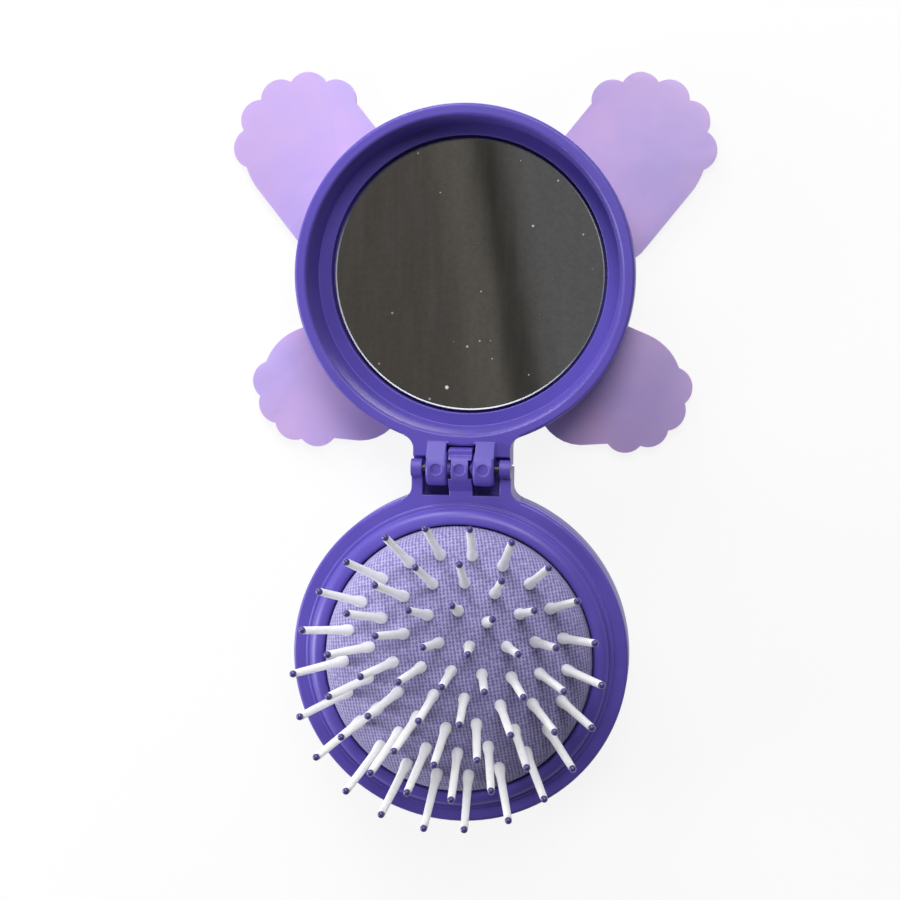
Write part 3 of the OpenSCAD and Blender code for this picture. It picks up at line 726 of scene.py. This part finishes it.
def make_ring_tree():
    """Copies of one pin around the dome; what a ring differs in comes from the inputs."""
    group =bpy.data.node_groups.new("ring of pins on a dome", "GeometryNodeTree")
    tree = Tree(group)
    for name, kind in RING_INPUTS:
        group.interface.new_socket(name, in_out="INPUT", socket_type=f"NodeSocket{kind}")
    group.interface.new_socket("Ring", in_out="OUTPUT", socket_type="NodeSocketGeometry")
    given = tree.add("NodeGroupInput").outputs
    index = tree.add("GeometryNodeInputIndex").outputs[0]
    step = tree.math("DIVIDE", 2 * math.pi, given["Count"])
    angle = tree.math("SUBTRACT", given["First Angle"], tree.math("MULTIPLY", index, step))
    radius, dome = given["Ring Radius"], given["Dome Radius"]
    height = tree.math("SQRT", tree.math("SUBTRACT", tree.math("MULTIPLY", dome, dome),
                                         tree.math("MULTIPLY", radius, radius)))
    spoke = tree.add("ShaderNodeCombineXYZ", {
        "X": tree.math("MULTIPLY", radius, tree.math("COSINE", angle)),
        "Y": tree.math("MULTIPLY", radius, tree.math("SINE", angle)), "Z": height}).outputs[0]
    spot = tree.vector("ADD", given["Dome Centre"], spoke).outputs[0]
    places = tree.add("GeometryNodePoints", {"Count": given["Count"], "Position": spot}).outputs[0]
    upright = tree.vector("SUBTRACT", tree.add("GeometryNodeInputPosition").outputs[0],
                          given["Dome Centre"]).outputs[0]
    upright = tree.vector("NORMALIZE", upright).outputs[0]
    jitter = tree.add("FunctionNodeRandomValue", {0: (-1, -1, -1), 1: (1, 1, 1),
                                                  "Seed": given["Seed"]}, data_type="FLOAT_VECTOR")
    lean = tree.add("ShaderNodeVectorMath", {0: jitter.outputs[0], "Scale": given["Out Of True"]},
                    operation="SCALE").outputs[0]
    points_to = tree.vector("ADD", upright, lean).outputs[0]
    turn = tree.add("FunctionNodeAlignRotationToVector", {"Vector": points_to}, axis="Z").outputs[0]
    copies = tree.add("GeometryNodeInstanceOnPoints", {"Points": places, "Instance": given["One Pin"],
                                                       "Rotation": turn}).outputs[0]
    solid = tree.add("GeometryNodeRealizeInstances", {0: copies}).outputs[0]
    finished = tree.add("GeometryNodeSetMaterial", {"Geometry": solid, "Material": given["Finish"]})
    tree.add("NodeGroupOutput", {0: finished.outputs[0]})
    return group


ring_tree = make_ring_tree()


def grow(name, seed_mesh, group, values):
    """Runs a Geometry Nodes tree on a mesh and keeps the result as a plain piece."""
    piece = bpy.data.objects.new(name, seed_mesh)
    bpy.context.scene.collection.objects.link(piece)
    modifier = piece.modifiers.new("grow", "NODES")
    modifier.node_group = group
    for item in group.interface.items_tree:
        if item.in_out == "INPUT" and item.name in values:
            modifier[item.identifier] = values[item.name]
    grown = piece.evaluated_get(bpy.context.evaluated_depsgraph_get())
    piece_mesh = bpy.data.meshes.new_from_object(grown)
    piece.modifiers.remove(modifier)
    piece.data = piece_mesh
    piece_mesh.name = name
    return piece


print("ring tree with", len(ring_tree.nodes), "nodes")

# %% [markdown]
# ### Nylon and dipped balls
#
# Natural nylon is a milky white that lets a little light in, so thin shafts glow slightly. The
# balls are dipped in dark violet epoxy, which is glossier than the rest of the brush half.

# %% Make the nylon and the epoxy
NYLON = ((0.93, 0.93, 0.94), (0.87, 0.87, 0.88))
NYLON_GLOW = 1.4          # mm that light goes into it; all sizes here are in mm
NYLON_CLOUD_SIZE = 2.5
NYLON_GRAIN_SIZE = 0.25
NYLON_GRAIN_DEPTH = 0.02
EPOXY = ((0.064, 0.044, 0.24), (0.045, 0.03, 0.17))
EPOXY_RUN_SIZE = 0.8
EPOXY_RUN_DEPTH = 0.03


def make_nylon():
    material, tree, skin = finish_tree("white nylon", Subsurface_Weight=0.7,
                                       Subsurface_Scale=NYLON_GLOW * MM,
                                       Subsurface_Radius=(1.0, 0.97, 0.95))
    at = object_place(tree)
    cloud = tree.noise(at, NYLON_CLOUD_SIZE * MM)
    drawn = tree.noise(at, NYLON_GRAIN_SIZE * MM, detail=2)
    connect(tree, skin, Base_Color=tree.blend(tree.spread(cloud, 0.3, 0.7), *NYLON),
            Normal=tree.bump(drawn, 0.2, NYLON_GRAIN_DEPTH * MM),
            Roughness=tree.spread(cloud, 0.3, 0.7, 0.36, 0.48))
    return material


def make_epoxy():
    material, tree, skin = finish_tree("violet epoxy", Coat_Weight=0.4, Coat_Roughness=0.1)
    dip = tree.noise(object_place(tree), EPOXY_RUN_SIZE * MM)
    connect(tree, skin, Base_Color=tree.blend(tree.spread(dip, 0.35, 0.65), *EPOXY),
            Normal=tree.bump(dip, 0.3, EPOXY_RUN_DEPTH * MM),
            Roughness=tree.spread(dip, 0.3, 0.7, 0.22, 0.34))
    return material


white_nylon = make_nylon()
violet_epoxy = make_epoxy()
print("made", white_nylon.name, "and", violet_epoxy.name)

# %% [markdown]
# ### Planting
#
# Each ring is one piece of pins and one piece of balls. Both ride on the body of their ring, so
# that they sink with the rubber under them.

# %% Plant the rings
RING_COUNTS = [1, 6, 12, 17, 22]
RING_STARTS = [0.0, 55.0, 84.6, 82.9, 97.8]   # degrees to each ring's first pin
OUT_OF_TRUE = 0.02        # most a pin's direction strays on each axis, for a length of 1
FIRST_SEED = 11
pins_total = 0
for ring, (count, radius, start) in enumerate(zip(RING_COUNTS, RING_RADII, RING_STARTS)):
    body = "cushion_centre" if ring == 0 else f"cushion_zone_{ring}"
    facts = {"Count": count, "Ring Radius": radius * MM, "First Angle": math.radians(start),
             "Dome Radius": DOME_R, "Dome Centre": dome_centre, "Out Of True": OUT_OF_TRUE,
             "Seed": FIRST_SEED + ring}
    suffix = "centre" if ring == 0 else f"ring_{ring}"
    pins = grow(f"pins_{suffix}", pin_mesh, ring_tree, facts | {"Finish": white_nylon})
    balls = grow(f"balls_{suffix}", ball_mesh, ring_tree, facts | {"Finish": violet_epoxy})
    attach(pins, body)
    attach(balls, body)
    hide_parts("bristle_centre" if ring == 0 else f"bristle_ring_{ring}")
    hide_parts("ball_tip_centre" if ring == 0 else f"ball_tips_ring_{ring}")
    pins_total += count
print(pins_total, "pins planted")

# %% [markdown]
# ## The mirror's silvering
#
# A disc of silvered glass. Seen from above it reflects the dim room, so it looks nearly black next
# to the bright plastic. The room's reflection is painted into the silver's colour: warm grey on the
# left and cool grey on the right, with a dark band between them and a lighter swell beside it. All
# of them depend on the distance from a line that leans by about ten degrees, and a broad noise
# keeps their edges from being straight. On top come faint wiping marks, mottles, specks of dust and
# one chip.

# %% Make the silvering
mirror_low, mirror_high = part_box("mirror_glass")
DARK_BAND_AT = 7.6         # mm to the right of the mirror's middle
DARK_BAND_LEAN = 0.18      # mm sideways for each mm down
WIPE_TURN = 35             # degrees, and the marks are ten times as long as wide
DUST_CELL = 2.6            # mm, with at most one speck in each
CHIP_AT = (-4.4, -23.0, mirror_high.z / MM - seam_z / MM)   # a chip in the silver, from the middle
# The four colours below are a painted reflection of the room in the silver.
WARM_REFLECTION = (0.42, 0.375, 0.33)     # left of the dark band
SWELL_REFLECTION = (0.59, 0.545, 0.475)   # the lighter swell beside it
DARK_BAND_REFLECTION = (0.22, 0.215, 0.19)     # the band itself
COOL_REFLECTION = (0.62, 0.615, 0.62)     # right of it
WIPED = (0.95, 0.95, 0.95)
MOTTLED = (0.15, 0.14, 0.12)
DUST = (0.95, 0.93, 0.88)             # dust and the chip


def make_silver():
    material, tree, skin = finish_tree("dark silvering", Metallic=1.0)
    at = object_place(tree)
    spot = tree.vector("SUBTRACT", at, tuple(lid_middle)).outputs[0]
    parts = tree.add("ShaderNodeSeparateXYZ", {0: spot}).outputs
    wander = tree.math("MULTIPLY_ADD", tree.noise(at, 16 * MM, detail=2), 3 * MM, -1.5 * MM)
    across = tree.math("MULTIPLY_ADD", parts["Y"], DARK_BAND_LEAN, parts["X"])
    across = tree.math("ADD", tree.math("SUBTRACT", across, DARK_BAND_AT * MM), wander)
    # painted reflection: warm and cool tones, a dark band and a lighter swell
    colour = tree.blend(tree.spread(across, 1 * MM, 8 * MM), WARM_REFLECTION, COOL_REFLECTION)
    colour = tree.blend(tree.swell(across, -7 * MM, 8 * MM), colour, SWELL_REFLECTION)
    colour = tree.blend(tree.swell(across, 0.2 * MM, 5 * MM), colour, DARK_BAND_REFLECTION)
    wiped = tree.add("ShaderNodeMapping", {"Vector": at, "Rotation": (0, 0, math.radians(WIPE_TURN)),
                                           "Scale": (1.0, 0.1, 1.0)}).outputs[0]
    smear = tree.spread(tree.noise(wiped, 1.8 * MM, detail=3), 0.3, 0.75, 0.0, 0.14)
    haze = tree.noise(at, 3 * MM, detail=3)
    colour = tree.blend(smear, colour, WIPED)
    speck = tree.add("ShaderNodeTexVoronoi", {"Vector": at, "Scale": 1 / (DUST_CELL * MM)})
    chance = tree.add("ShaderNodeSeparateColor", {0: speck.outputs["Color"]}).outputs
    speck_size = tree.spread(chance[0], 0.4, 1.0, 0.0, 0.12)
    dust = tree.math("LESS_THAN", speck.outputs["Distance"], speck_size)
    chip = tree.vector("DISTANCE", spot, tuple(x * MM for x in CHIP_AT)).outputs["Value"]
    chip = tree.spread(chip, 0.5 * MM, 0.3 * MM)
    brightness = tree.math("MULTIPLY", dust, tree.spread(chance[1], 0.0, 1.0, 0.06, 0.4))
    brightness = tree.math("MAXIMUM", brightness, chip)
    mottle = tree.spread(tree.noise(at, 0.8 * MM, detail=3), 0.4, 0.7, 0.0, 0.16)
    colour = tree.blend(mottle, colour, MOTTLED)
    colour = tree.blend(brightness, colour, DUST)
    connect(tree, skin, Base_Color=colour, Metallic=tree.math("SUBTRACT", 1.0, brightness),
            Roughness=tree.math("MULTIPLY_ADD", dust, 0.4, tree.spread(haze, 0.3, 0.75, 0.04, 0.1)))
    return material


silvering = make_silver()
print("dark band", DARK_BAND_AT, "mm right of the mirror's middle")

# %% [markdown]
# ### The glass and its ground edge
#
# The front of the glass ends in a narrow ground slope that faces inwards. The slope is frosted, and
# its light is painted by side: pale on one side as a painted highlight, dark on the other as painted
# shade. The disc is turned on the lathe, and its faces are shaded flat, so that every edge of the
# glass stays crisp. Only the faces that look up are silvered.

# %% Grind the edge and lay the mirror in
MIRROR_BEVEL = 0.35        # mm around the back
GROUND_SLOPE = 0.24        # mm, width of the slope around the front
SLOPE_FALL = 0.7           # mm that the slope goes down for each mm of its width
LIT_EDGE_SIDE = 238          # degrees to the side where the slope is painted pale and lit; the other side is painted dark
MIRROR_SEGMENTS = 160
FROST_SIZE = 0.3           # mm
FROST_PALE = (0.90, 0.92, 0.93)
FROST_GREY = (0.74, 0.77, 0.79)
# the slope's colour on its far side, a painted shade
UNLIT_EDGE = (0.10, 0.10, 0.13)


def make_ground_edge():
    material, tree, skin = finish_tree("ground glass edge")
    at = object_place(tree)
    frost = tree.noise(at, FROST_SIZE * MM, detail=2)
    spot = tree.vector("SUBTRACT", at, tuple(lid_middle)).outputs[0]
    toward = tuple(math.cos(math.radians(LIT_EDGE_SIDE + turn)) for turn in (0, -90)) + (0,)
    side = tree.vector("DOT_PRODUCT", spot, toward).outputs["Value"]
    # painted light: the slope is pale on one side, a painted highlight, and dark on the other, painted
    # shade
    lit_side = tree.spread(side, 2 * MM, 22 * MM)
    ground = tree.blend(frost, FROST_PALE, FROST_GREY)
    connect(tree, skin, Base_Color=tree.blend(lit_side, UNLIT_EDGE, ground),
            Roughness=tree.spread(frost, 0.3, 0.7, 0.35, 0.5))
    return material


def make_mirror():
    """The turned disc in the CAD mirror's box, on the mirror half."""
    radius = (mirror_high.x - mirror_low.x) / 2
    thick = mirror_high.z - mirror_low.z
    bevel = MIRROR_BEVEL * MM
    slope = GROUND_SLOPE * MM
    rim = slope / 3                       # a narrow chamfer outside of the slope
    face = thick - SLOPE_FALL * slope     # height of the silvered face
    profile = [(0, 0), (radius - bevel, 0), (radius, bevel), (radius, thick - rim),
               (radius - rim, thick), (radius - rim - slope, face), (0, face)]
    mesh = lathe("mirror", profile, MIRROR_SEGMENTS, Vector((lid_middle.x, lid_middle.y, mirror_low.z)))
    piece = add_piece("mirror", mesh, make_ground_edge(), silvering)
    for polygon in mesh.polygons:
        polygon.use_smooth = False
        if polygon.normal.z > 0.9:
            polygon.material_index = 1
    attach(piece, "mirror_half")
    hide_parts("mirror_glass")
    return piece


print("mirror with", len(make_mirror().data.polygons), "faces")

# %% [markdown]
# ## The soft-vinyl butterfly
#
# The charm is poured from coloured soft vinyl: a lavender backing with raised fields. Each colour
# is two tones that swirl into each other, and it lets a little light in. Paint from the front runs
# over the backing's edge in patches, so the sides of that layer are tinted, by their normals.

# %% Mix the vinyl
CHARM_LAYERS = [   # node, colour, second colour, edge radius in mm
    ("charm_backing", (0.50, 0.385, 0.76), (0.60, 0.42, 0.74), 0.45),
    ("charm_upper_wings", (0.31, 0.20, 0.66), (0.40, 0.24, 0.70), 0.4),
    ("charm_lower_wings", (0.66, 0.32, 0.66), (0.74, 0.38, 0.62), 0.4),
    ("charm_spots", (0.88, 0.58, 0.72), (0.92, 0.70, 0.66), 0.4),
    ("charm_body", (0.045, 0.05, 0.20), (0.07, 0.06, 0.26), 0.4),
    ("charm_antennae", (0.045, 0.05, 0.20), (0.07, 0.06, 0.26), 0.25),
]
EDGE_TINTS = ((0.85, 0.30, 0.30), (0.05, 0.06, 0.25))    # where the front's paint runs over
VINYL_GLOW = 0.8          # mm that light goes into it
SWIRL_SIZE = 16           # mm, like the three below
RIPPLE_SIZE = 3.5
PORE_SIZE = 0.35
RIPPLE_DEPTH = 0.12


def make_vinyl(name, colour, second, painted_edge=False):
    """Two swirling tones with soft ripples and pores, and paint on the sides if there is any."""
    material, tree, skin = finish_tree(name, Subsurface_Weight=0.2,
                                       Subsurface_Scale=VINYL_GLOW * MM,
                                       Subsurface_Radius=(1.0, 0.7, 0.9))
    at = object_place(tree)
    swirl = tree.noise(at, SWIRL_SIZE * MM, detail=3)
    ripple = tree.noise(at, RIPPLE_SIZE * MM, detail=2)
    pores = tree.noise(at, PORE_SIZE * MM, detail=2)
    tone = tree.blend(tree.spread(swirl, 0.35, 0.68), colour, second)
    if painted_edge:
        up = tree.add("ShaderNodeSeparateXYZ", {
            0: tree.add("ShaderNodeNewGeometry").outputs["Normal"]}).outputs["Z"]
        side = tree.spread(tree.math("ABSOLUTE", up), 0.75, 0.3)
        patches = tree.noise(at, 9 * MM, detail=1)
        paint = tree.blend(tree.spread(patches, 0.45, 0.5), *EDGE_TINTS)
        shown = tree.math("MULTIPLY", side, tree.spread(tree.noise(at, 7 * MM), 0.42, 0.6, 0.1, 0.8))
        tone = tree.blend(shown, tone, paint)
    height = tree.math("MULTIPLY_ADD", pores, 0.15, ripple)
    connect(tree, skin, Base_Color=tone, Normal=tree.bump(height, 0.5, RIPPLE_DEPTH * MM),
            Roughness=tree.spread(ripple, 0.3, 0.7, 0.38, 0.5))
    return material


vinyls = {node: make_vinyl(f"{node} vinyl", colour, second, painted_edge=node == "charm_backing")
          for node, colour, second, _ in CHARM_LAYERS}
print("mixed", len(vinyls), "vinyls")

# %% [markdown]
# ### Soft edges
#
# Poured vinyl has no sharp edges. So each layer is taken from the frame, its loose triangles are
# joined, its flat sides become single faces, and the Bevel modifier rolls its edges over.

# %% Soften the layers
WELD = 0.001              # mm; corners nearer than this are one
FLAT_WITHIN = 0.5         # degrees between triangles that are one flat side
ROLL_STEPS = 4
SHARP_FROM = 50           # degrees between sides whose edge is rolled over


def soft_copy(node, radius):
    """A copy of a CAD node's mesh with joined faces and rolled edges."""
    form = bmesh.new()
    form.from_mesh(frame["nodes"][node].data)
    bmesh.ops.remove_doubles(form, verts=form.verts, dist=WELD * MM)
    bmesh.ops.dissolve_limit(form, angle_limit=math.radians(FLAT_WITHIN), verts=form.verts,
                             edges=form.edges)
    mesh = bpy.data.meshes.new(node)
    form.to_mesh(mesh)
    form.free()
    mesh.shade_smooth()
    piece = bpy.data.objects.new(node, mesh)
    bpy.context.scene.collection.objects.link(piece)
    roll = piece.modifiers.new("roll", "BEVEL")
    roll.width = radius * MM
    roll.segments = ROLL_STEPS
    roll.limit_method = "ANGLE"
    roll.angle_limit = math.radians(SHARP_FROM)
    roll.harden_normals = True
    shaped = piece.evaluated_get(bpy.context.evaluated_depsgraph_get())
    rolled = bpy.data.meshes.new_from_object(shaped)
    bpy.data.objects.remove(piece)
    return rolled


for node, _, _, radius in CHARM_LAYERS:
    layer = add_piece(f"soft_{node}", soft_copy(node, radius), vinyls[node])
    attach(layer, "mirror_half")
    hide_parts(node)
    print(node, len(layer.data.polygons), "faces")

# %% [markdown]
# ## Tape and hinge pin
#
# The foam tapes behind the mirror and the charm are hidden, and of the blackened steel pin no more
# than its ends can show. They get a finish all the same, for whoever takes the model apart.

# %% Make tape and steel
FOAM = ((0.80, 0.80, 0.78), (0.88, 0.88, 0.86))
FOAM_SIZE = 0.4           # mm
FOAM_DEPTH = 0.05         # mm
STEEL = ((0.07, 0.07, 0.09), (0.12, 0.12, 0.14))
STEEL_MARK = 0.1          # mm across, and twenty times as long


def make_tape():
    material, tree, skin = finish_tree("white foam tape", Roughness=0.8)
    foam = tree.noise(object_place(tree), FOAM_SIZE * MM, detail=3)
    connect(tree, skin, Base_Color=tree.blend(foam, *FOAM),
            Normal=tree.bump(foam, 0.6, FOAM_DEPTH * MM))
    return material


def make_blackened_steel():
    """Dark steel with marks along X, the hinge's direction."""
    material, tree, skin = finish_tree("blackened steel", Metallic=1.0)
    lengthwise = tree.add("ShaderNodeMapping", {"Vector": object_place(tree),
                                                "Scale": (0.05, 1.0, 1.0)}).outputs[0]
    drawn = tree.noise(lengthwise, STEEL_MARK * MM, detail=2)
    connect(tree, skin, Base_Color=tree.blend(drawn, *STEEL),
            Roughness=tree.spread(drawn, 0.3, 0.7, 0.4, 0.55))
    return material


foam_tape = make_tape()
dress("mirror_tape", foam_tape)
dress("charm_tape", foam_tape)
dress("hinge_pin", make_blackened_steel())
print("dressed the tapes and the hinge pin")
